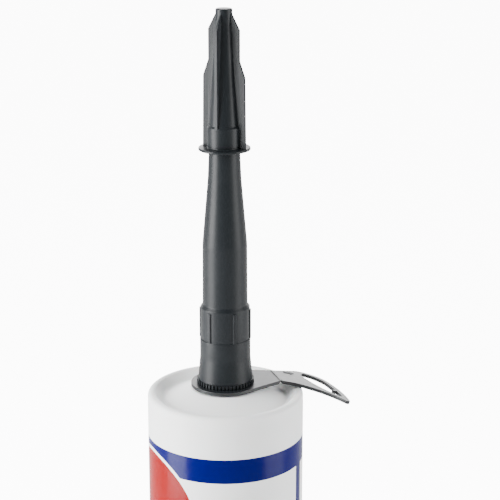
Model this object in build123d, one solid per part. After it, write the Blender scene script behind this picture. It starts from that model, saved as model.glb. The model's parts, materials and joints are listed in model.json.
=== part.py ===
from build123d import *
import os
from math import acos, asin, atan2, cos, degrees, hypot, pi, radians, sin

# Sealant cartridge that stands on its open end: a white barrel with a recessed shoulder and a
# sealed spout, a plunger piston and the sealant in front of it, a screw-on nozzle, a push-on
# cap with grip wings, and a tab ring whose arm folds on a living hinge.
# Millimetres. +Z is up, the origin is on the barrel's axis at its open lower end.

# ---- barrel and shoulder ----
barrel_diameter = 50.0
barrel_wall = 1.6
barrel_length = 215.0
rim_width = 2.2              # from the outside of the barrel to the rim's inner corner
rim_outer_round = 1.3
rim_inner_round = 1.5
valley_depth = 2.7           # ring valley inside the rim, below the rim's crest
valley_radius = 20.0
shoulder_wall = 1.8
plateau_radius = 11.0        # raised flat in the middle of the shoulder, round the spout
plateau_rise = 1.4

# ---- spout ----
spout_radius = 6.9           # over the thread's crest
spout_bore = 4.9
spout_straight = 13.6        # threaded length above the plateau
spout_cone = 9.2             # sealed cone on top, cut open before use
spout_tip_radius = 3.2
spout_membrane = 1.2

# ---- piston and sealant ----
piston_recess = 12.0         # from the barrel's open end up to the piston's skirt
piston_height = 14.0
piston_wall = 1.2
piston_crown = 1.6
piston_lip_height = 1.8
piston_lip_step = 0.5
piston_clearance = 0.1
sealant_clearance = 0.1

# ---- tab ring and its folding arm ----
tab_thickness = 1.1
ring_radius = 11.0
ring_lift = 0.5              # ring's underside above the shoulder's plateau
tab_azimuth = 17.0
hinge_reach = 17.2           # from the axis to the hinge line
hinge_width = 10.0
hinge_gap = 0.05             # each side of the hinge line
hinge_notch_angle = 35.0     # each side of the underside notch
arm_clearance = 0.08         # between the resting arm and the rim's crest
arm_reach = 20.6
arm_shoulder_reach = 9.9
arm_shoulder_width = 8.5     # sideways, where the outer edge starts to curve
arm_tip_drop = 17.5          # sideways, to the tip
arm_inner_root = 5.4
tip_round = 0.8
slot_border = 1.8            # strip between the slot and the arm's outer edge
slot_round = 0.55
tooth_size = 1.2

# ---- nozzle ----
nozzle_seat_gap = 0.05       # between the nozzle's foot and the tab ring
nozzle_bore_clearance = 0.2
nozzle_wall = 1.15
knurl_radius = 9.18
knurl_root_radius = 8.72
knurl_height = 1.4
knurl_count = 48
skirt_radius = 8.05
skirt_height = 15.0
flare_height = 9.0
collar_radius = 7.85
collar_height = 10.4
collar_rib_radius = 8.24
collar_rib_width = 1.1
collar_rib_count = 6
collar_rib_azimuth = -8.5
collar_rib_short = 0.7
barrel_of_nozzle_radius = 7.15
waist_rise = 49.0            # straight part ends this far above the rim
waist_radius = 7.05
neck_rise = 70.0
neck_radius = 5.25
cap_seat_rise = 79.1
cap_seat_radius = 4.85
socket_radius = 4.4          # spigot that the cap pushes on to
spigot_height = 6.8
dispensing_tip_rise = 118.0
dispensing_tip_radius = 1.7
dispensing_wall = 0.75
retaining_hub_radius = 8.0
retaining_bead_radius = 8.4
retaining_bead_height = 0.35
hub_clearance = 0.15

# ---- cap ----
cap_fit = 0.1                # radial, on the nozzle's spigot
cap_seat_gap = 0.1
cap_taper_clearance = 0.15
flange_radius = 8.12
flange_thickness = 0.8
cap_cylinder_radius = 5.38
cap_cylinder_height = 6.4
cap_shoulder_radius = 4.75
cap_core_mid_radius = 3.6
cap_tip_rise = 122.8
cap_tip_radius = 2.6
cap_cone_end = 4.8           # straight end of the core, below the tip
wing_azimuth = -29.0
wing_thickness = 1.0
wing_foot_radius = 7.4
wing_low_radius = 7.15
wing_high_radius = 5.3
wing_step_low = 102.0
wing_step_high = 107.0
wing_top = 116.4
wing_crest = 121.9
rib_radius = 5.3
rib_thickness = 0.9


# ---- places worked out from the sizes above ----
rim = barrel_length
barrel_radius = barrel_diameter / 2
barrel_bore = barrel_radius - barrel_wall
plateau = rim + plateau_rise
spout_straight_top = plateau + spout_straight
spout_top = spout_straight_top + spout_cone
shoulder_underside = rim - valley_depth - shoulder_wall
plateau_underside = plateau - shoulder_wall

piston_bottom = piston_recess
piston_top = piston_bottom + piston_height

ring_underside = plateau + ring_lift
ring_top = ring_underside + tab_thickness
hub_radius_in_ring = retaining_hub_radius + hub_clearance
bead_radius_in_ring = retaining_bead_radius + hub_clearance

foot = ring_top + nozzle_seat_gap
nozzle_bore = spout_radius + nozzle_bore_clearance
hub_bottom = ring_underside + nozzle_seat_gap
collar_bottom = foot + skirt_height
collar_top = collar_bottom + collar_height
cap_seat = rim + cap_seat_rise
spigot_top = cap_seat + spigot_height
dispensing_tip = rim + dispensing_tip_rise

flange_underside = cap_seat + cap_seat_gap
flange_top = flange_underside + flange_thickness
cap_cylinder_top = flange_top + cap_cylinder_height
cap_tip = rim + cap_tip_rise


def droop_on_rim():
    """Angle below level at which the arm, hinged at its top edge, just clears the rim."""
    crest_centre_reach = barrel_radius - rim_outer_round - hinge_reach
    crest_centre_drop = ring_top - (rim - rim_outer_round)
    to_crest = hypot(crest_centre_reach, crest_centre_drop)
    stand_off = tab_thickness + rim_outer_round + arm_clearance
    return degrees(atan2(crest_centre_drop, crest_centre_reach) - asin(stand_off / to_crest))


def turned(corners):
    """Solid of revolution from its half section, given as (radius, height, corner round)."""
    section = make_face(Polyline([(r, z) for r, z, rounding in corners], close=True))
    for r, z, rounding in corners:
        if rounding:
            corner = section.vertices().sort_by_distance((r, z))[0]
            section = fillet(corner, rounding)
    return revolve(Plane.XZ * section, Axis.Z)


def around(shape, azimuth):
    """The shape turned about the barrel's axis."""
    return Rot(0, 0, azimuth) * shape


def upright_plate(outline, thickness):
    """Flat plate standing in the XZ plane, centred on it, from (reach, height) points."""
    face = Plane.XZ * make_face(Polyline(outline, close=True))
    return extrude(face, thickness / 2, both=True)


def make_cartridge():
    """Barrel, recessed shoulder and sealed spout in one moulding."""
    rim_inside = barrel_radius - rim_width
    valley = rim - valley_depth
    corners = [
        (barrel_bore, 0, 0),
        (barrel_radius, 0, 0),
        (barrel_radius, rim, rim_outer_round),
        (rim_inside, rim, rim_inner_round),
        (valley_radius, valley, 1.5),
        (plateau_radius, plateau, 2.0),
        (spout_radius, plateau, 0.4),
        (spout_radius, spout_straight_top, 0.3),
        (spout_tip_radius, spout_top, 0.8),
        (0, spout_top, 0),
        (0, spout_top - spout_membrane, 0),
        (spout_tip_radius - spout_membrane, spout_top - spout_membrane, 0),
        (spout_bore, spout_straight_top, 0),
        (spout_bore, plateau_underside, 0.8),
        (plateau_radius, plateau_underside, 2.0),
        (valley_radius, shoulder_underside, 1.5),
        (barrel_bore, shoulder_underside, 1.2),
    ]
    return turned(corners)


def make_piston():
    """Thin cup, open downwards for the gun's plunger, with a wiping lip at each end."""
    lip = barrel_bore - piston_clearance
    body = lip - piston_lip_step
    inside = body - piston_wall
    corners = [
        (inside, piston_bottom, 0),
        (lip, piston_bottom, 0.3),
        (lip, piston_bottom + piston_lip_height, 0.3),
        (body, piston_bottom + piston_lip_height + piston_lip_step, 0),
        (body, piston_top - piston_lip_height - piston_lip_step, 0),
        (lip, piston_top - piston_lip_height, 0.3),
        (lip, piston_top, 0.4),
        (0, piston_top, 0),
        (0, piston_top - piston_crown, 0),
        (inside, piston_top - piston_crown, 0.8),
    ]
    return turned(corners)


def make_sealant():
    """Column of paste from the piston's crown to the shoulder, up into the spout's bore."""
    c = sealant_clearance
    wall = barrel_bore - c
    corners = [
        (0, piston_top + c, 0),
        (wall, piston_top + c, 0.4),
        (wall, shoulder_underside - c, 1.4),
        (valley_radius, shoulder_underside - c, 1.5),
        (plateau_radius, plateau_underside - c, 2.0),
        (spout_bore - c, plateau_underside - c, 0.8),
        (spout_bore - c, spout_straight_top, 0),
        (0, spout_straight_top, 0),
    ]
    return turned(corners)


def knurl_ring():
    """Toothed band at the nozzle's foot."""
    pitch = 2 * pi / knurl_count
    outline = []
    for tooth in range(knurl_count):
        start = tooth * pitch
        for share, radius in ((0, knurl_root_radius), (0.22, knurl_radius),
                              (0.62, knurl_radius), (0.84, knurl_root_radius)):
            angle = start + share * pitch
            outline.append((radius * cos(angle), radius * sin(angle)))
    band = extrude(make_face(Polyline(outline, close=True)), knurl_height)
    return Pos(0, 0, foot) * band


def nozzle_outside():
    """Outer form of the nozzle, without its teeth, ribs and bores."""
    knurl_top = foot + knurl_height
    spigot_shoulder = spigot_top + 0.8
    return turned([
        (0, hub_bottom, 0),
        (retaining_bead_radius, hub_bottom, 0.1),
        (retaining_bead_radius, hub_bottom + retaining_bead_height, 0),
        (retaining_hub_radius, hub_bottom + retaining_bead_height, 0),
        (retaining_hub_radius, foot, 0),
        (knurl_root_radius, foot, 0),
        (knurl_root_radius, knurl_top, 0.8),
        (skirt_radius, foot + flare_height, 12.0),
        (skirt_radius, collar_bottom, 0.12),
        (collar_radius, collar_bottom, 0),
        (collar_radius, collar_top, 0.3),
        (barrel_of_nozzle_radius, collar_top + 0.9, 0.5),
        (waist_radius, rim + waist_rise, 25.0),
        (neck_radius, rim + neck_rise, 40.0),
        (cap_seat_radius, cap_seat, 0.15),
        (socket_radius, cap_seat, 0),
        (socket_radius, spigot_top, 0.2),
        (socket_radius - 0.7, spigot_shoulder, 0.3),
        (dispensing_tip_radius, dispensing_tip, 0.3),
        (0, dispensing_tip, 0),
    ])


def nozzle_inside():
    """Thread bore, body bore and the tapering dispensing bore."""
    wall = nozzle_wall
    return turned([
        (0, hub_bottom - 1, 0),
        (nozzle_bore, hub_bottom - 1, 0),
        (nozzle_bore, spout_straight_top + 1.0, 0),
        (barrel_of_nozzle_radius - wall, collar_bottom + 2.0, 0),
        (waist_radius - wall, rim + waist_rise, 25.0),
        (neck_radius - wall, rim + neck_rise, 40.0),
        (socket_radius - wall, cap_seat, 0),
        (socket_radius - 0.7 - dispensing_wall, spigot_top, 0),
        (dispensing_tip_radius - dispensing_wall, dispensing_tip + 1, 0),
        (0, dispensing_tip + 1, 0),
    ])


def make_nozzle():
    """Knurled, ribbed and tapered nozzle that screws on to the spout."""
    rib_height = collar_height - collar_rib_short
    rib_depth = collar_rib_radius - nozzle_bore
    rib = Box(rib_depth, collar_rib_width, rib_height,
              align=(Align.MAX, Align.CENTER, Align.MIN))
    rib = Pos(collar_rib_radius, 0, collar_bottom) * rib
    rib = fillet(rib.edges().filter_by(Axis.Z).group_by(Axis.X)[-1], 0.25)
    nozzle = nozzle_outside() + knurl_ring()
    for index in range(collar_rib_count):
        nozzle += around(rib, collar_rib_azimuth + index * 360 / collar_rib_count)
    return nozzle - nozzle_inside()


def make_cap():
    """Closed push-on cap with a thin flange, two stepped grip wings and two narrow ribs."""
    core = turned([
        (0, flange_underside, 0),
        (flange_radius, flange_underside, 0.2),
        (flange_radius, flange_top, 0.3),
        (cap_cylinder_radius, flange_top, 0.3),
        (cap_cylinder_radius, cap_cylinder_top, 0.5),
        (cap_shoulder_radius, cap_cylinder_top + 0.6, 0.4),
        (cap_core_mid_radius, rim + wing_step_low, 0),
        (cap_tip_radius, cap_tip - cap_cone_end, 0),
        (cap_tip_radius, cap_tip, 0.4),
        (0, cap_tip, 0),
    ])
    wing = upright_plate([
        (-wing_foot_radius, flange_top - flange_thickness / 2),
        (wing_foot_radius, flange_top - flange_thickness / 2),
        (wing_low_radius, rim + wing_step_low),
        (wing_high_radius, rim + wing_step_high),
        (wing_high_radius, rim + wing_top),
        (cap_tip_radius - 0.3, rim + wing_crest),
        (0.3 - cap_tip_radius, rim + wing_crest),
        (-wing_high_radius, rim + wing_top),
        (-wing_high_radius, rim + wing_step_high),
        (-wing_low_radius, rim + wing_step_low),
    ], wing_thickness)
    rib = upright_plate([
        (-rib_radius, cap_cylinder_top - 0.3),
        (rib_radius, cap_cylinder_top - 0.3),
        (rib_radius, rim + wing_top),
        (cap_tip_radius - 0.3, rim + wing_crest),
        (0.3 - cap_tip_radius, rim + wing_crest),
        (-rib_radius, rim + wing_top),
    ], rib_thickness)
    tip_inside = dispensing_tip + 0.5
    inside = turned([
        (0, flange_underside - 1, 0),
        (socket_radius + cap_fit, flange_underside - 1, 0),
        (socket_radius + cap_fit, spigot_top + 0.1, 0),
        (socket_radius - 0.7 + cap_taper_clearance, spigot_top + 0.9, 0),
        (dispensing_tip_radius + cap_taper_clearance, tip_inside, 0),
        (0, tip_inside, 0),
    ])
    grips = around(wing, wing_azimuth) + around(rib, wing_azimuth + 90)
    return core + grips - inside


def place_at_hinge(shape, tilt):
    """From hinge coordinates (X outwards, Y along the hinge, Z up) to the part's frame."""
    return around(Pos(hinge_reach, 0, ring_top) * Rot(0, tilt, 0) * shape, tab_azimuth)


def hinge_notch():
    """Wedge cut from one side of the underside notch; Z is zero at the hinge line."""
    depth = tab_thickness * 2
    spread = depth * sin(radians(hinge_notch_angle)) / cos(radians(hinge_notch_angle))
    wedge = upright_plate([(-1, 1), (hinge_gap, 1), (hinge_gap, 0),
                           (hinge_gap + spread, -depth), (-1, -depth)], hinge_width * 3)
    return wedge


def make_tab_ring():
    """Flat ring under the nozzle's foot, drawn out to the hinge line."""
    corner_angle = atan2(hinge_width / 2, hinge_reach)
    corner_distance = hypot(hinge_width / 2, hinge_reach)
    tangent = corner_angle + acos(ring_radius / corner_distance)
    tangent_x = ring_radius * cos(tangent)
    tangent_y = ring_radius * sin(tangent)
    half = hinge_width / 2
    tongue = make_face(Polyline([(tangent_x, -tangent_y), (hinge_reach, -half),
                                 (hinge_reach, half), (tangent_x, tangent_y)], close=True))
    plate = extrude(tongue + Circle(ring_radius), tab_thickness)
    counterbore_depth = retaining_bead_height + 4 * nozzle_seat_gap
    plate -= Cylinder(hub_radius_in_ring, tab_thickness * 4)
    plate -= Cylinder(bead_radius_in_ring, counterbore_depth * 2)
    notch = Pos(hinge_reach, 0, tab_thickness) * mirror(hinge_notch(), Plane.YZ)
    return around(Pos(0, 0, ring_underside) * (plate - notch), tab_azimuth)


def arm_outline():
    """Claw-shaped blade: widening root, arched outer edge, tip swept to one side."""
    half = hinge_width / 2
    shoulder = (arm_shoulder_reach, arm_shoulder_width)
    turn = (arm_reach - 1.2, 0.1)
    outer_tip = (arm_reach - 0.4, 1.2 - arm_tip_drop)
    inner_tip = (arm_reach - 1.5, -arm_tip_drop)
    inner_root = (4.6, -arm_inner_root)
    blade = make_face([
        Line((0, half), shoulder),
        ThreePointArc(shoulder, (arm_reach - 4.7, 6.3), turn),
        ThreePointArc(turn, (arm_reach, -8.0), outer_tip),
        Line(outer_tip, inner_tip),
        ThreePointArc(inner_tip, (arm_reach - 7.2, -10.1), inner_root),
        Line(inner_root, (0, -half)),
        Line((0, -half), (0, half)),
    ])
    tip = blade.vertices().sort_by(Axis.Y)[:2]
    return fillet(tip, tip_round)


def slot_outline():
    """Long crescent slot that follows the arm's outer edge, with one small tooth."""
    far_root = (arm_shoulder_reach + 2.1, arm_shoulder_width - slot_border - 0.2)
    far_turn = (arm_reach - slot_border - 0.7, -2.6)
    far_tip = (arm_reach - slot_border, 3.9 - arm_tip_drop)
    near_root = (arm_shoulder_reach + 0.5, far_root[1] - 1.9)
    slot = make_face([
        ThreePointArc(far_root, (far_turn[0] - 1.9, 3.2), far_turn),
        ThreePointArc(far_turn, (arm_reach - slot_border, -8.0), far_tip),
        ThreePointArc(far_tip, (arm_reach - 7.4, -4.6), near_root),
        Line(near_root, far_root),
    ])
    ends = [slot.vertices().sort_by_distance(corner)[0] for corner in (far_tip, near_root, far_root)]
    slot = fillet(ends, slot_round)
    tooth = Pos(arm_reach - slot_border, -7.0) * Rectangle(tooth_size * 2, tooth_size)
    return slot - tooth


def make_tab_arm():
    """Folding arm, resting on the rim."""
    blade = extrude(arm_outline() - slot_outline(), -tab_thickness)
    return place_at_hinge(blade - hinge_notch(), droop_on_rim())


nodes = {
    "cartridge": make_cartridge(),
    "piston": make_piston(),
    "sealant": make_sealant(),
    "tab_ring": make_tab_ring(),
    "tab_arm": make_tab_arm(),
    "nozzle": make_nozzle(),
    "cap": make_cap(),
}

os.makedirs("parts", exist_ok=True)
for name, shape in nodes.items():
    export_step(shape, f"parts/{name}.step")

print("arm droop", round(droop_on_rim(), 2), "degrees")
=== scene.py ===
import json
from math import ceil, cos, pi, radians, sin, tan

import bmesh
import bpy
from bpy.props import FloatProperty, FloatVectorProperty, IntProperty, PointerProperty
from mathutils import Matrix, Vector


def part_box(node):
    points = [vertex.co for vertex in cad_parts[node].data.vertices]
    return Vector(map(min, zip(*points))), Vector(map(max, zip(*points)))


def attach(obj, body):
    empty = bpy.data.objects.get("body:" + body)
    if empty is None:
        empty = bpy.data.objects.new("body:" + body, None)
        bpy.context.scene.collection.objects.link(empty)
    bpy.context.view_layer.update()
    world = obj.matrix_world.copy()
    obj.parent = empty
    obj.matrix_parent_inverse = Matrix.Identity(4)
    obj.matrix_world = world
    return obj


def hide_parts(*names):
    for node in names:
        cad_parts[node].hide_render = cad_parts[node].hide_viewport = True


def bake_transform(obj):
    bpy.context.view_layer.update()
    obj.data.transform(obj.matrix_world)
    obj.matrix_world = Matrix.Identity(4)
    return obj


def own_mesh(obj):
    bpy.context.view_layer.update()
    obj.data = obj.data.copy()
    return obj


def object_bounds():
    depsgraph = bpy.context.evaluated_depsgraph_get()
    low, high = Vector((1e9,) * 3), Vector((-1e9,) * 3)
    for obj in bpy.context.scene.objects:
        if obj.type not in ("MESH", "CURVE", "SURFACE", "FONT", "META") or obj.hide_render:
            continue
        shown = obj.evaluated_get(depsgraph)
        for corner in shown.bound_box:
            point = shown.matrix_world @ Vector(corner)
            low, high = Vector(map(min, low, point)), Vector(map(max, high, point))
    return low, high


bl_info = {
    "name": "Sealant cartridge",
    "version": (1, 0, 0),
    "blender": (4, 5, 0),
    "location": "3D View > Sidebar > Cartridge",
    "description": "Cartridge with barrel print, nozzle, cap and folding tab around a packed frame",
    "category": "Object",
}

MM = 0.001
MERGE_DISTANCE = 1e-6

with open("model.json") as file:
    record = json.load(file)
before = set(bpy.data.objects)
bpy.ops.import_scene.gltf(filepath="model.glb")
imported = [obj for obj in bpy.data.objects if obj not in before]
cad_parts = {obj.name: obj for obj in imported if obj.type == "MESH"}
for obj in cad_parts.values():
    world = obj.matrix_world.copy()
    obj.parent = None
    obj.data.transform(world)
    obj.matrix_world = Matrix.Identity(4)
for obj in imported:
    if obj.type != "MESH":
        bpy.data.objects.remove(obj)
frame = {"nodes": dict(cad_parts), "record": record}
cad_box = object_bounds()

# ---- boxes read from the frame ----
barrel_low, barrel_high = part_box("cartridge")
ring_low, ring_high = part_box("tab_ring")
nozzle_low, nozzle_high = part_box("nozzle")
paste_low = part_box("sealant")[0]
barrel_radius = barrel_high[0]

# ---- steps repeated from the part, because the boxes don't show them ----
ring_lift = 0.5 * MM          # tab ring's underside above the shoulder's plateau
plateau_rise = 1.4 * MM       # plateau above the rim
nozzle_seat_gap = 0.05 * MM   # nozzle's foot above the tab ring
shoulder_depth = 4.5 * MM     # shoulder's underside below the rim
plateau = ring_low[2] - ring_lift
rim = plateau - plateau_rise
foot = ring_high[2] + nozzle_seat_gap
shoulder_underside = rim - shoulder_depth

# ---- hinge line and the arm's droop ----
hinge_azimuth = radians(17.0)
hinge_reach = 17.2 * MM
hinge_height = ring_high[2]
arm_droop = radians(14.93)


def joint(name):
    return next(item for item in frame["record"]["behaviour"]["joints"] if item["name"] == name)


# ======================================================================== sizes and colours

class CartridgePrint(bpy.types.PropertyGroup):
    """Printed fields on the barrel."""
    band_drop: FloatProperty(name="Band drop", description="Band's upper edge below the rim",
                             default=13.85 * MM, unit="LENGTH")
    band_height: FloatProperty(name="Band height", description="Height of the blue band",
                               default=7.95 * MM, unit="LENGTH")
    line_width: FloatProperty(name="Line width", description="Width of the upright frame lines",
                              default=3.8 * MM, unit="LENGTH")
    disc_radius: FloatProperty(name="Disc radius", description="Radius of the red disc",
                               default=20.6 * MM, unit="LENGTH")
    disc_drop: FloatProperty(name="Disc drop", description="Disc's centre below the rim",
                             default=37.6 * MM, unit="LENGTH")
    disc_azimuth: FloatProperty(name="Disc azimuth", description="Disc's centre from the front",
                                default=radians(-69.4), subtype="ANGLE")
    blue: FloatVectorProperty(name="Blue", description="Band and line ink", subtype="COLOR",
                              default=(0.0, 0.0, 0.085))
    red: FloatVectorProperty(name="Red", description="Disc ink", subtype="COLOR",
                             default=(0.22, 0.0, 0.0))
    white: FloatVectorProperty(name="White", description="Barrel plastic", subtype="COLOR",
                               default=(0.86, 0.87, 0.865))


class CartridgeMoulding(bpy.types.PropertyGroup):
    """Moulded detail of the dark pieces."""
    teeth: IntProperty(name="Teeth", description="Teeth round the nozzle's foot", default=48, min=3)
    ribs: IntProperty(name="Ribs", description="Ribs on the nozzle's collar", default=6, min=2)
    thread_pitch: FloatProperty(name="Thread pitch", description="Rise of the spout's thread a turn",
                                default=3.0 * MM, unit="LENGTH")
    edge_round: FloatProperty(name="Edge round", description="Round on moulded edges",
                              default=0.12 * MM, unit="LENGTH")
    anthracite: FloatVectorProperty(name="Anthracite", description="Dark plastic",
                                    subtype="COLOR", default=(0.0060, 0.0078, 0.0095))


# ======================================================================== mesh helpers

def rounded(corners, steps=8):
    """Profile points from (radius, height, round) corners, each round drawn as an arc."""
    points = []
    count = len(corners)
    for index, (r, z, rounding) in enumerate(corners):
        here = Vector((r, z))
        if not rounding:
            points.append(here)
            continue
        before = (Vector(corners[index - 1][:2]) - here).normalized()
        after = (Vector(corners[(index + 1) % count][:2]) - here).normalized()
        half = before.angle(after) / 2
        reach = rounding / tan(half)
        centre = here + (before + after).normalized() * rounding / sin(half)
        start = here + before * reach - centre
        end = here + after * reach - centre
        sweep = start.angle_signed(end)
        for step in range(steps + 1):
            turn = Matrix.Rotation(-sweep * step / steps, 2)
            points.append(centre + turn @ start)
    return points


def lathe(corners, segments=192):
    """Closed mesh of revolution from a closed half section in millimetres."""
    bm = bmesh.new()
    profile = [(p.x * MM, p.y * MM) for p in rounded(corners)]
    rings = []
    on_axis = 1e-7
    for r, z in profile:
        if r < on_axis:
            rings.append([bm.verts.new((0, 0, z))] * segments)
            continue
        rings.append([bm.verts.new((r * cos(2 * pi * k / segments), r * sin(2 * pi * k / segments), z))
                      for k in range(segments)])
    for index, ring in enumerate(rings):
        other = rings[(index + 1) % len(rings)]
        for k in range(segments):
            n = (k + 1) % segments
            corners_here = []
            for vert in (ring[k], ring[n], other[n], other[k]):
                if vert not in corners_here:
                    corners_here.append(vert)
            if len(corners_here) > 2:
                bm.faces.new(corners_here)
    bmesh.ops.recalc_face_normals(bm, faces=bm.faces)
    return bm


def helix_ridge(bm, root, crest, low, high, pitch, per_turn=72):
    """Thread ridge that tapers in and out, added to bm; sizes in metres."""
    sunk = 0.3 * MM
    fade_rate = 8
    half_root, half_crest = pitch * 0.30, pitch * 0.12
    steps = ceil((high - low) / pitch * per_turn)
    rows = []
    for step in range(steps + 1):
        share = step / steps
        z = low + (high - low) * share
        angle = 2 * pi * (z - low) / pitch
        fade = min(1.0, share * fade_rate, (1 - share) * fade_rate)
        out = root + (crest - root) * fade
        section = ((root - sunk, -half_root), (out, -half_crest),
                   (out, half_crest), (root - sunk, half_root))
        rows.append([bm.verts.new((r * cos(angle), r * sin(angle), z + dz)) for r, dz in section])
    for a, b in zip(rows, rows[1:]):
        for k in range(4):
            bm.faces.new((a[k], a[(k + 1) % 4], b[(k + 1) % 4], b[k]))
    bm.faces.new(rows[0][::-1])
    bm.faces.new(rows[-1])
    bmesh.ops.recalc_face_normals(bm, faces=bm.faces)


def piece_from(bm, name, material, sharp=30.0):
    """New object from a bmesh, which it frees."""
    mesh = bpy.data.meshes.new(name)
    bm.to_mesh(mesh)
    bm.free()
    return piece_from_mesh(mesh, name, material, sharp)


def piece_from_mesh(mesh, name, material, sharp=30.0):
    """New object from a mesh, smooth shaded with edges past the sharp angle kept."""
    mesh.shade_smooth()
    mesh.set_sharp_from_angle(angle=radians(sharp))
    mesh.materials.clear()
    mesh.materials.append(material)
    piece = bpy.data.objects.new(name, mesh)
    bpy.context.collection.objects.link(piece)
    return piece


def moulded_copy(node, name, material, edge_round, sharp=30.0):
    """Merged copy of a CAD node's mesh with its edges slightly rounded."""
    flat_angle, bevel_angle = radians(0.6), radians(35)
    bm = bmesh.new()
    bm.from_mesh(frame["nodes"][node].data)
    bmesh.ops.remove_doubles(bm, verts=bm.verts, dist=MERGE_DISTANCE)
    bmesh.ops.dissolve_limit(bm, angle_limit=flat_angle, verts=bm.verts, edges=bm.edges)
    piece = piece_from(bm, name, material, sharp)
    bevel = piece.modifiers.new("edge_round", "BEVEL")
    bevel.width = edge_round
    bevel.segments = 2
    bevel.limit_method = "ANGLE"
    bevel.angle_limit = bevel_angle
    bevel.harden_normals = True
    return piece


def at_hinge(x, y, z, tilt):
    """From hinge coordinates to the frame: x outwards, y along the hinge, z up."""
    turn = Matrix.Rotation(hinge_azimuth, 4, "Z") @ Matrix.Translation((hinge_reach, 0, hinge_height))
    return turn @ Matrix.Rotation(tilt, 4, "Y") @ Vector((x, y, z))


# ======================================================================== geometry nodes

def ring_tree(name, material):
    """Node group: copies of the incoming mesh set round a circle, facing outwards."""
    tree = bpy.data.node_groups.new(name, "GeometryNodeTree")
    face = tree.interface
    face.new_socket("Geometry", in_out="INPUT", socket_type="NodeSocketGeometry")
    count = face.new_socket("Count", in_out="INPUT", socket_type="NodeSocketInt")
    radius = face.new_socket("Radius", in_out="INPUT", socket_type="NodeSocketFloat")
    height = face.new_socket("Height", in_out="INPUT", socket_type="NodeSocketFloat")
    start = face.new_socket("Start angle", in_out="INPUT", socket_type="NodeSocketFloat")
    face.new_socket("Geometry", in_out="OUTPUT", socket_type="NodeSocketGeometry")
    add, link = tree.nodes.new, tree.links.new
    source, result = add("NodeGroupInput"), add("NodeGroupOutput")
    circle = add("GeometryNodeMeshCircle")
    link(source.outputs["Count"], circle.inputs["Vertices"])
    link(source.outputs["Radius"], circle.inputs["Radius"])
    index = add("GeometryNodeInputIndex")
    share = add("ShaderNodeMath")
    share.operation = "DIVIDE"
    link(index.outputs[0], share.inputs[0])
    link(source.outputs["Count"], share.inputs[1])
    angle = add("ShaderNodeMath")
    angle.operation = "MULTIPLY"
    angle.inputs[1].default_value = 2 * pi
    link(share.outputs[0], angle.inputs[0])
    euler = add("ShaderNodeCombineXYZ")
    link(angle.outputs[0], euler.inputs["Z"])
    copies = add("GeometryNodeInstanceOnPoints")
    link(circle.outputs["Mesh"], copies.inputs["Points"])
    link(source.outputs["Geometry"], copies.inputs["Instance"])
    link(euler.outputs[0], copies.inputs["Rotation"])
    realize = add("GeometryNodeRealizeInstances")
    link(copies.outputs[0], realize.inputs[0])
    spin = add("ShaderNodeCombineXYZ")
    link(source.outputs["Start angle"], spin.inputs["Z"])
    lift = add("ShaderNodeCombineXYZ")
    link(source.outputs["Height"], lift.inputs["Z"])
    place = add("GeometryNodeTransform")
    link(realize.outputs[0], place.inputs["Geometry"])
    link(lift.outputs[0], place.inputs["Translation"])
    link(spin.outputs[0], place.inputs["Rotation"])
    finish = add("GeometryNodeSetMaterial")
    finish.inputs["Material"].default_value = material
    link(place.outputs[0], finish.inputs["Geometry"])
    link(finish.outputs[0], result.inputs[0])
    return tree, {"Count": count, "Radius": radius, "Height": height, "Start angle": start}


def ring_of(bm, name, material, values, sharp=30.0):
    """Plain mesh piece made by the ring tree from one small shape."""
    seed = piece_from(bm, name + "_seed", material, sharp)
    tree, sockets = ring_tree(name + "_ring", material)
    modifier = seed.modifiers.new("ring", "NODES")
    modifier.node_group = tree
    for key, value in values.items():
        modifier[sockets[key].identifier] = value
    depsgraph = bpy.context.evaluated_depsgraph_get()
    mesh = bpy.data.meshes.new_from_object(seed.evaluated_get(depsgraph))
    seed.modifiers.remove(modifier)
    bpy.data.objects.remove(seed)
    return piece_from_mesh(mesh, name, material, sharp)


def small_block(width, depth, height, lean=0.0, crown=0.35):
    """Rib or tooth: narrowed outer face at x = 0, body behind it, foot at z = 0."""
    bm = bmesh.new()
    narrow = width * crown
    outline = [(-depth, -width / 2), (-lean, -width / 2), (0, -narrow), (0, narrow),
               (-lean, width / 2), (-depth, width / 2)]
    low = [bm.verts.new((x, y, 0)) for x, y in outline]
    high = [bm.verts.new((x, y, height)) for x, y in outline]
    count = len(outline)
    for k in range(count):
        n = (k + 1) % count
        bm.faces.new((low[k], low[n], high[n], high[k]))
    bm.faces.new(low[::-1])
    bm.faces.new(high)
    bmesh.ops.recalc_face_normals(bm, faces=bm.faces)
    return bm


# ======================================================================== shader helpers

class Value:
    """A shader socket; arithmetic on it adds Math nodes to its tree."""

    def __init__(self, shader, socket):
        self.shader = shader
        self.socket = socket

    def math(self, operation, *others):
        return self.shader.node("ShaderNodeMath", {"operation": operation}, self, *others)

    def __add__(self, other):
        return self.math("ADD", other)

    def __radd__(self, other):
        return self.math("ADD", other)

    def __sub__(self, other):
        return self.math("SUBTRACT", other)

    def __rsub__(self, other):
        return self.shader.node("ShaderNodeMath", {"operation": "SUBTRACT"}, other, self)

    def __mul__(self, other):
        return self.math("MULTIPLY", other)

    def __rmul__(self, other):
        return self.math("MULTIPLY", other)

    def __abs__(self):
        return self.math("ABSOLUTE")

    def above(self, edge, soft=0.04 * MM):
        """1 where this value is more than edge, 0 below, with a soft step."""
        return self.shader.node("ShaderNodeMapRange", {"interpolation_type": "SMOOTHSTEP"},
                                self, edge - soft, edge + soft, 0.0, 1.0)

    def below(self, edge, soft=0.04 * MM):
        return 1 - self.above(edge, soft)


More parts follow.
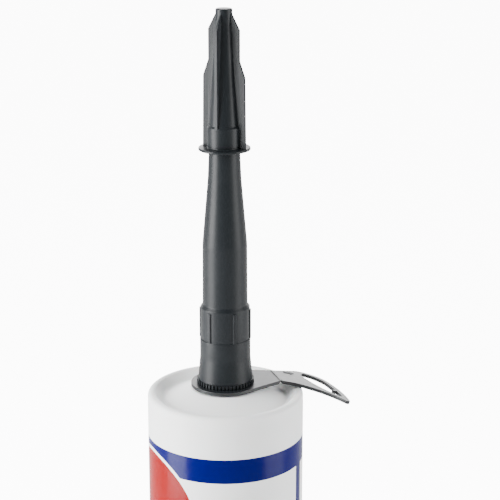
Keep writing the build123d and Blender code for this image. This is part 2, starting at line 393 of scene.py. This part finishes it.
class Shader:
    """A new material with one Principled BSDF and helpers to add nodes."""

    def __init__(self, name, color, roughness, **constants):
        self.material = bpy.data.materials.new(name)
        self.material.use_nodes = True
        self.tree = self.material.node_tree
        self.surface = self.tree.nodes["Principled BSDF"]
        self.surface.inputs["Base Color"].default_value = (*color, 1)
        self.surface.inputs["Roughness"].default_value = roughness
        for key, value in constants.items():
            self.surface.inputs[key.replace("_", " ")].default_value = value
        coordinates = self.tree.nodes.new("ShaderNodeTexCoord")
        self.place = Value(self, coordinates.outputs["Object"])

    def node(self, kind, settings, *values):
        """First output of a new node, with its settings and then its inputs in order."""
        made = self.tree.nodes.new(kind)
        for key, value in settings.items():
            setattr(made, key, value)
        for socket, value in zip(made.inputs, values):
            if isinstance(value, Value):
                self.tree.links.new(value.socket, socket)
            elif value is not None:
                socket.default_value = value
        return Value(self, made.outputs[0])

    def xyz(self):
        split = self.tree.nodes.new("ShaderNodeSeparateXYZ")
        self.tree.links.new(self.place.socket, split.inputs[0])
        return [Value(self, split.outputs[axis]) for axis in range(3)]

    def noise(self, scale, detail=3.0, stretch=(1, 1, 1)):
        turned = self.node("ShaderNodeMapping", {}, self.place, None, None, stretch)
        return self.node("ShaderNodeTexNoise", {}, turned, None, scale, detail)

    def mix(self, share, first, second):
        made = self.tree.nodes.new("ShaderNodeMix")
        made.data_type = "RGBA"
        for socket, value in ((made.inputs[0], share), (made.inputs[6], first), (made.inputs[7], second)):
            if isinstance(value, Value):
                self.tree.links.new(value.socket, socket)
            else:
                socket.default_value = (*value, 1) if isinstance(value, tuple) else value
        return Value(self, made.outputs[2])

    def bump(self, height, distance, strength=1.0):
        made = self.tree.nodes.new("ShaderNodeBump")
        made.inputs["Strength"].default_value = strength
        made.inputs["Distance"].default_value = distance
        self.tree.links.new(height.socket, made.inputs["Height"])
        self.tree.links.new(made.outputs["Normal"], self.surface.inputs["Normal"])

    def feed(self, name, value):
        self.tree.links.new(value.socket, self.surface.inputs[name])


# ======================================================================== materials

def barrel_plastic(look):
    """Satin white polyethylene with printed blue and red fields."""
    roughness, gloss_of_print = 0.34, 0.14
    print_depth = 0.3 * MM              # print lies on the outside wall only
    foot_band_rise = 16 * MM            # lower band's lower edge above the barrel's open end
    line_azimuths = radians(68), radians(-150)
    line_soft = 0.002
    disc_ring = 1.1 * MM                # bare ring left round the disc
    shader = Shader("barrel_plastic", tuple(look.white), roughness, Subsurface_Weight=0.08,
                    Subsurface_Scale=1.0 * MM, IOR=1.45, Specular_IOR_Level=0.12)
    x, y, z = shader.xyz()
    angle = shader.node("ShaderNodeMath", {"operation": "ARCTAN2"}, x, y * -1)
    outside = (x * x + y * y).above((barrel_radius - print_depth) ** 2, 1e-7)
    band_top = rim - look.band_drop
    band_bottom = band_top - look.band_height
    foot_band = barrel_low[2] + foot_band_rise
    band = z.below(band_top) * z.above(band_bottom)
    band_low = z.below(foot_band + look.band_height) * z.above(foot_band)
    half_line = look.line_width / 2 / barrel_radius
    between = z.below(band_top) * z.above(foot_band)
    blue_share = band.math("MAXIMUM", band_low)
    for azimuth in line_azimuths:
        line = abs(angle - azimuth).below(half_line, line_soft)
        blue_share = blue_share.math("MAXIMUM", line * between)
    across = (angle - look.disc_azimuth) * barrel_radius
    up = z - (rim - look.disc_drop)
    distance = (across * across + up * up).math("SQRT")
    halo = distance.below(look.disc_radius + disc_ring)
    disc = distance.below(look.disc_radius)
    blue_share = blue_share * (1 - halo) * outside
    red_share = disc * outside
    ink = shader.noise(150.0, 2.0)
    white = tuple(look.white)
    shade = shader.noise(38.0, 2.0, (1, 1, 0.3))
    shaded = (white[0] * 0.97, white[1] * 0.975, white[2] * 0.98)
    ground = shader.mix(shade * 0.35, white, shaded)
    color = shader.mix(blue_share, ground, tuple(look.blue))
    color = shader.mix(red_share, color, tuple(look.red))
    shader.feed("Base Color", color)
    printed = blue_share.math("MAXIMUM", red_share)
    shader.feed("Roughness", roughness - printed * gloss_of_print + (ink - 0.5) * 0.03)
    grain = shader.noise(1500.0, 2.0) * 0.35 + shader.noise(120.0, 2.0, (1, 1, 0.25)) * 0.65
    shader.bump(grain + printed * 0.5, 0.0012 * MM, 0.3)
    return shader.material


def anthracite_plastic(look, name="anthracite_plastic", flow=(1, 1, 0.08), gloss=0.24):
    """Satin dark polypropylene with faint flow streaks and a fine grain."""
    dark = tuple(look.anthracite)
    shader = Shader(name, dark, 0.36, IOR=1.45, Specular_IOR_Level=gloss)
    streak = shader.noise(420.0, 3.0, flow)
    cloud = shader.noise(70.0, 2.0)
    lighter = tuple(part * 1.3 for part in dark)
    shader.feed("Base Color", shader.mix(streak * 0.5 + cloud * 0.3, dark, lighter))
    shader.feed("Roughness", 0.30 + streak * 0.10 + cloud * 0.05)
    grain = shader.noise(2600.0, 2.0)
    shader.bump(grain * 0.5 + streak * 0.5, 0.0025 * MM, 0.4)
    return shader.material


def piston_plastic():
    """Matt natural-white polyethylene with turned flow rings."""
    natural, duller = (0.80, 0.80, 0.77), (0.76, 0.765, 0.74)
    ring_rate = 3200                    # radians of ring pattern for each metre of radius
    shader = Shader("piston_plastic", natural, 0.48, Subsurface_Weight=0.1,
                    Subsurface_Scale=1.2 * MM)
    x, y, z = shader.xyz()
    reach = (x * x + y * y).math("SQRT")
    rings = (reach * ring_rate).math("SINE")
    patch = shader.noise(160.0)
    shader.feed("Roughness", 0.42 + patch * 0.14)
    shader.feed("Base Color", shader.mix(patch, natural, duller))
    shader.bump(rings * 0.4 + patch, 0.02 * MM, 0.5)
    return shader.material


def sealant_paste():
    """Smooth pale grey paste."""
    pale, darker = (0.62, 0.62, 0.60), (0.57, 0.575, 0.56)
    shader = Shader("sealant_paste", pale, 0.3, Subsurface_Weight=0.15,
                    Subsurface_Scale=1.0 * MM)
    swirl = shader.noise(60.0, 4.0, (1, 1, 0.4))
    shader.feed("Base Color", shader.mix(swirl, pale, darker))
    shader.feed("Roughness", 0.24 + swirl * 0.14)
    shader.bump(swirl, 0.05 * MM, 0.4)
    return shader.material


# ======================================================================== half sections

# millimetres; the thread's sizes are set here, and the heights are repeated from the part
thread_root, thread_crest = 6.1, 6.85
thread_low, thread_high = 2.2, 12.6      # thread's ends above the plateau
spout_straight = 13.6        # spout's straight length above the plateau
skirt_height = 15.0          # from the nozzle's foot up to its collar
knurl_height = 1.4


def barrel_section():
    """Barrel, rim, shoulder and spout as (radius, height, round) corners in millimetres."""
    wall = 1.6
    step_foot, step_head, step_inset = 3.4, 3.25, 0.05      # fine step below the rim
    rim_width, rim_outer_round, rim_inner_round = 2.2, 1.3, 1.5
    valley_radius, valley_depth, valley_round = 20.0, 2.7, 1.5
    plateau_radius, plateau_round = 11.0, 2.0
    spout_height, spout_membrane, spout_bore = 22.8, 1.2, 4.9
    shoulder_wall = 1.8
    top = rim / MM
    flat = plateau / MM
    under = shoulder_underside / MM
    outside = barrel_radius / MM
    bore = outside - wall
    straight = flat + spout_straight
    tip = flat + spout_height
    ceiling = tip - spout_membrane
    return [
        (bore, 0, 0), (outside, 0, 0), (outside, top - step_foot, 0),
        (outside - step_inset, top - step_head, 0), (outside - step_inset, top, rim_outer_round),
        (outside - rim_width, top, rim_inner_round), (valley_radius, top - valley_depth, valley_round),
        (plateau_radius, flat, plateau_round), (thread_root, flat, 0.4), (thread_root, straight, 0.3),
        (3.2, tip, 0.8), (0, tip, 0), (0, ceiling, 0), (2.0, ceiling, 0), (spout_bore, straight, 0),
        (spout_bore, flat - shoulder_wall, 0.8), (plateau_radius, flat - shoulder_wall, plateau_round),
        (valley_radius, under, valley_round), (bore, under, 1.2),
    ]


def nozzle_section():
    """Nozzle, up its outside and down its passage, as corners in millimetres."""
    bore, thread_depth = 7.1, 14.6
    bead_radius, bead_height, hub_radius = 8.4, 0.35, 8.0
    knurl_root, skirt_radius, flare_height, flare_round = 8.72, 8.05, 9.0, 12.0
    collar_radius, collar_height = 7.85, 10.4
    shaft_radius, waist_radius, neck_radius, seat_radius = 7.15, 7.05, 5.25, 4.85
    waist_rise, neck_rise, seat_rise = 49.0, 70.0, 79.1
    waist_round, neck_round = 25.0, 40.0
    spigot_radius, spigot_height, spigot_taper = 4.4, 6.8, 0.7
    tip_radius, wall, tip_wall = 1.7, 1.15, 0.75
    low = nozzle_low[2] / MM
    base = foot / MM
    tip = nozzle_high[2] / MM
    bead_top = low + bead_height
    collar = base + skirt_height
    collar_top = collar + collar_height
    thread_end = plateau / MM + thread_depth
    waist, neck, seat = (rim / MM + rise for rise in (waist_rise, neck_rise, seat_rise))
    spigot_top = seat + spigot_height
    spigot_end = spigot_radius - spigot_taper
    outer = [
        (bore, low, 0), (bead_radius, low, 0.1), (bead_radius, bead_top, 0), (hub_radius, bead_top, 0),
        (hub_radius, base, 0), (knurl_root, base, 0), (knurl_root, base + knurl_height, 0.8),
        (skirt_radius, base + flare_height, flare_round), (skirt_radius, collar, 0.12),
        (collar_radius, collar, 0), (collar_radius, collar_top, 0.3), (shaft_radius, collar_top + 0.9, 0.5),
        (waist_radius, waist, waist_round), (neck_radius, neck, neck_round), (seat_radius, seat, 0.15),
        (spigot_radius, seat, 0), (spigot_radius, spigot_top, 0.2), (spigot_end, spigot_top + 0.8, 0.3),
        (tip_radius, tip, 0.3),
    ]
    inner = [
        (tip_radius - tip_wall, tip, 0), (spigot_end - tip_wall, spigot_top, 0),
        (spigot_radius - wall, seat, 0), (neck_radius - wall, neck, neck_round),
        (waist_radius - wall, waist, waist_round), (shaft_radius - wall, collar + 2.0, 0),
        (bore, thread_end, 0),
    ]
    return outer + inner


# ======================================================================== operators

class OBJECT_OT_cartridge_barrel(bpy.types.Operator):
    """Turn the barrel, rim, shoulder and threaded spout in one mesh"""
    bl_idname = "object.cartridge_barrel"
    bl_label = "Barrel"

    def execute(self, context):
        look = context.scene.cartridge_print
        moulding = context.scene.cartridge_moulding
        material = barrel_plastic(look)
        bm = lathe(barrel_section(), 224)
        helix_ridge(bm, thread_root * MM, thread_crest * MM, plateau + thread_low * MM,
                    plateau + thread_high * MM, moulding.thread_pitch)
        piece = piece_from(bm, "barrel_moulding", material)
        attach(piece, "barrel")
        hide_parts("cartridge")
        return {"FINISHED"}


class OBJECT_OT_cartridge_filling(bpy.types.Operator):
    """Make the piston and the paste in front of it"""
    bl_idname = "object.cartridge_filling"
    bl_label = "Piston and paste"

    def execute(self, context):
        piston = moulded_copy("piston", "piston_cup", piston_plastic(), 0.1 * MM)
        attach(piston, "piston")
        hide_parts("piston")
        bm = bmesh.new()
        bm.from_mesh(frame["nodes"]["sealant"].data)
        bmesh.ops.remove_doubles(bm, verts=bm.verts, dist=MERGE_DISTANCE)
        paste = piece_from(bm, "paste_column", sealant_paste())
        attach(paste, "barrel")
        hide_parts("sealant")
        push = joint("piston_push")
        fixed = push["deforming_nodes"][0]["fixed_end_z_m"]
        full = fixed - paste_low[2]
        keep = 1 - push["range_m"][1] / full
        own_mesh(paste)
        return {"FINISHED"}


class OBJECT_OT_cartridge_nozzle(bpy.types.Operator):
    """Turn the nozzle and set its foot teeth and collar ribs round it"""
    bl_idname = "object.cartridge_nozzle"
    bl_label = "Nozzle"

    def execute(self, context):
        look = context.scene.cartridge_moulding
        material = anthracite_plastic(look)
        body = piece_from(lathe(nozzle_section(), 160), "nozzle_body", material)
        tooth = small_block(0.72 * MM, 0.6 * MM, knurl_height * MM, 0.12 * MM)
        teeth = ring_of(tooth, "nozzle_teeth", material,
                        {"Count": look.teeth, "Radius": 9.18 * MM, "Height": foot,
                         "Start angle": radians(3.2)})
        rib = small_block(1.15 * MM, 0.7 * MM, 9.7 * MM, 0.25 * MM, 0.28)
        ribs = ring_of(rib, "nozzle_ribs", material,
                       {"Count": look.ribs, "Radius": 8.24 * MM, "Height": (foot / MM + skirt_height) * MM,
                        "Start angle": radians(-8.5)})
        for piece in (body, teeth, ribs):
            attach(piece, "nozzle")
        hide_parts("nozzle")
        return {"FINISHED"}


class OBJECT_OT_cartridge_cap(bpy.types.Operator):
    """Make the winged cap"""
    bl_idname = "object.cartridge_cap"
    bl_label = "Cap"

    def execute(self, context):
        look = context.scene.cartridge_moulding
        material = anthracite_plastic(look, "cap_plastic")
        cap = moulded_copy("cap", "cap_moulding", material, look.edge_round)
        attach(cap, "cap")
        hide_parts("cap")
        return {"FINISHED"}


class OBJECT_OT_cartridge_tab(bpy.types.Operator):
    """Make the tab ring, its folding arm, the living hinge and the arrow mark"""
    bl_idname = "object.cartridge_tab"
    bl_label = "Tab"

    def execute(self, context):
        look = context.scene.cartridge_moulding
        material = anthracite_plastic(look, "tab_plastic", (1, 1, 1), 0.6)
        for node, body in (("tab_ring", "tab_ring"), ("tab_arm", "tab_arm")):
            piece = moulded_copy(node, node + "_moulding", material, look.edge_round)
            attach(piece, body)
            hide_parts(node)
        self.make_web(material)
        self.make_arrow(anthracite_plastic(look, "mark_plastic", (1, 1, 1), 0.05))
        return {"FINISHED"}

    def make_web(self, material):
        """Thin strip across the hinge line, flat on the ring and tilted on the arm."""
        bm = bmesh.new()
        half, reach, thickness, steps = 4.9 * MM, 0.55 * MM, 0.28 * MM, 10
        rows = []
        for step in range(steps + 1):
            x = -reach + 2 * reach * step / steps
            tilt = arm_droop * min(1, max(0, x / reach * 2))
            rows.append([bm.verts.new(at_hinge(x, y, z, tilt))
                         for y, z in ((-half, 0), (half, 0), (half, -thickness), (-half, -thickness))])
        for a, b in zip(rows, rows[1:]):
            for k in range(4):
                bm.faces.new((a[k], a[(k + 1) % 4], b[(k + 1) % 4], b[k]))
        bm.faces.new(rows[0])
        bm.faces.new(rows[-1][::-1])
        bmesh.ops.recalc_face_normals(bm, faces=bm.faces)
        web = piece_from(bm, "hinge_web", material)
        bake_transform(web)

    def make_arrow(self, material):
        """Small raised arrow on the arm that shows which way it lifts."""
        bm = bmesh.new()
        outline = [(4.3, 4.0), (6.2, 4.0), (6.2, 3.2), (7.9, 4.6), (6.2, 6.0), (6.2, 5.2), (4.3, 5.2)]
        sunk, raised = 0.2 * MM, 0.14 * MM
        low = [bm.verts.new(at_hinge(x * MM, y * MM, -sunk, arm_droop)) for x, y in outline]
        high = [bm.verts.new(at_hinge(x * MM, y * MM, raised, arm_droop)) for x, y in outline]
        count = len(outline)
        for k in range(count):
            n = (k + 1) % count
            bm.faces.new((low[k], low[n], high[n], high[k]))
        bm.faces.new(low[::-1])
        bm.faces.new(high)
        bmesh.ops.recalc_face_normals(bm, faces=bm.faces)
        arrow = piece_from(bm, "arm_arrow", material)
        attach(arrow, "tab_arm")


class OBJECT_OT_cartridge_stage(bpy.types.Operator):
    """Set the floor, the soft lights, the surroundings and the camera"""
    bl_idname = "object.cartridge_stage"
    bl_label = "Stage"

    def execute(self, context):
        self.make_floor()
        self.make_world(context)
        for side, power in ((-1, 42.0), (1, 12.0)):
            self.make_softbox(side, power)
        self.make_camera(context)
        return {"FINISHED"}

    def make_floor(self):
        """Round floor that glows white to the camera and only faintly to the cartridge."""
        floor_radius, glow_seen, glow_cast = 6.0, 10.0, 0.15
        bm = bmesh.new()
        bmesh.ops.create_circle(bm, cap_ends=True, segments=96, radius=floor_radius)
        shader = Shader("pale_floor", (0.92, 0.92, 0.92), 0.8)
        cloud = shader.noise(3.0)
        shader.feed("Roughness", 0.75 + cloud * 0.1)
        path = shader.tree.nodes.new("ShaderNodeLightPath")
        seen = Value(shader, path.outputs["Is Camera Ray"])
        shader.surface.inputs["Emission Color"].default_value = (1, 1, 1, 1)
        shader.feed("Emission Strength", seen * glow_seen + glow_cast)
        floor = piece_from(bm, "floor", shader.material)
        floor.location.z = cad_box[0][2]

    def make_world(self, context):
        """White surroundings: dim in front, full at the sides and bright behind."""
        world = bpy.data.worlds.new("surroundings")
        world.use_nodes = True
        background = world.node_tree.nodes["Background"]
        background.inputs["Color"].default_value = (1, 1, 1, 1)
        nodes, links = world.node_tree.nodes, world.node_tree.links
        direction = nodes.new("ShaderNodeTexCoord")
        split = nodes.new("ShaderNodeSeparateXYZ")
        links.new(direction.outputs["Generated"], split.inputs[0])
        total = nodes.new("ShaderNodeMath")
        # Y of the direction from and to, then the strength from and to
        front_to_side, backdrop = (-0.85, -0.15, 0.12, 1.0), (0.72, 0.96, 0.0, 5.0)
        for slot, stops in enumerate((front_to_side, backdrop)):
            step = nodes.new("ShaderNodeMapRange")
            step.interpolation_type = "SMOOTHSTEP"
            for name, value in zip(("From Min", "From Max", "To Min", "To Max"), stops):
                step.inputs[name].default_value = value
            links.new(split.outputs["Y"], step.inputs["Value"])
            links.new(step.outputs["Result"], total.inputs[slot])
        links.new(total.outputs[0], background.inputs["Strength"])
        context.scene.world = world

    def make_softbox(self, side, power):
        """Upright soft light at one side, aimed at the barrel's rim."""
        light = bpy.data.lights.new("softbox", "AREA")
        light.shape = "RECTANGLE"
        light.size = 0.55
        light.size_y = 1.2
        light.energy = power
        box = bpy.data.objects.new("softbox", light)
        box.location = (side * 0.85, -0.25, rim + 0.15)
        aim = Vector((0, 0, rim)) - box.location
        box.rotation_euler = aim.to_track_quat("-Z", "Y").to_euler()
        bpy.context.collection.objects.link(box)

    def make_camera(self, context):
        """Camera in front of the nozzle, looking down on the rim."""
        distance, rise = 0.5122, 0.1962
        down, side = 0.2838, -0.0154
        camera_data = bpy.data.cameras.new("camera")
        camera_data.sensor_width = 36
        camera_data.lens = 122.3
        camera = bpy.data.objects.new("camera", camera_data)
        camera.location = (0, -distance, rim + rise)
        camera.rotation_euler = (pi / 2 - down, 0, side)
        bpy.context.collection.objects.link(camera)
        context.scene.camera = camera


class VIEW3D_PT_cartridge(bpy.types.Panel):
    """Sidebar panel that lists the cartridge's builders and sizes"""
    bl_label = "Cartridge"
    bl_space_type = "VIEW_3D"
    bl_region_type = "UI"
    bl_category = "Cartridge"

    def draw(self, context):
        for operator in OPERATORS:
            self.layout.operator(operator.bl_idname)
        for group in (context.scene.cartridge_print, context.scene.cartridge_moulding):
            for name in group.bl_rna.properties.keys():
                if name not in ("rna_type", "name"):
                    self.layout.prop(group, name)


OPERATORS = (OBJECT_OT_cartridge_barrel, OBJECT_OT_cartridge_filling, OBJECT_OT_cartridge_nozzle,
             OBJECT_OT_cartridge_cap, OBJECT_OT_cartridge_tab, OBJECT_OT_cartridge_stage)
CLASSES = (CartridgePrint, CartridgeMoulding, *OPERATORS, VIEW3D_PT_cartridge)


def register():
    for cls in CLASSES:
        bpy.utils.register_class(cls)
    bpy.types.Scene.cartridge_print = PointerProperty(type=CartridgePrint)
    bpy.types.Scene.cartridge_moulding = PointerProperty(type=CartridgeMoulding)


def unregister():
    del bpy.types.Scene.cartridge_moulding
    del bpy.types.Scene.cartridge_print
    for cls in reversed(CLASSES):
        bpy.utils.unregister_class(cls)


def main():
    register()
    bpy.ops.object.cartridge_barrel()
    bpy.ops.object.cartridge_filling()
    bpy.ops.object.cartridge_nozzle()
    bpy.ops.object.cartridge_cap()
    bpy.ops.object.cartridge_tab()
    bpy.ops.object.cartridge_stage()
    bpy.context.view_layer.update()


if __name__ == "__main__":
    main()
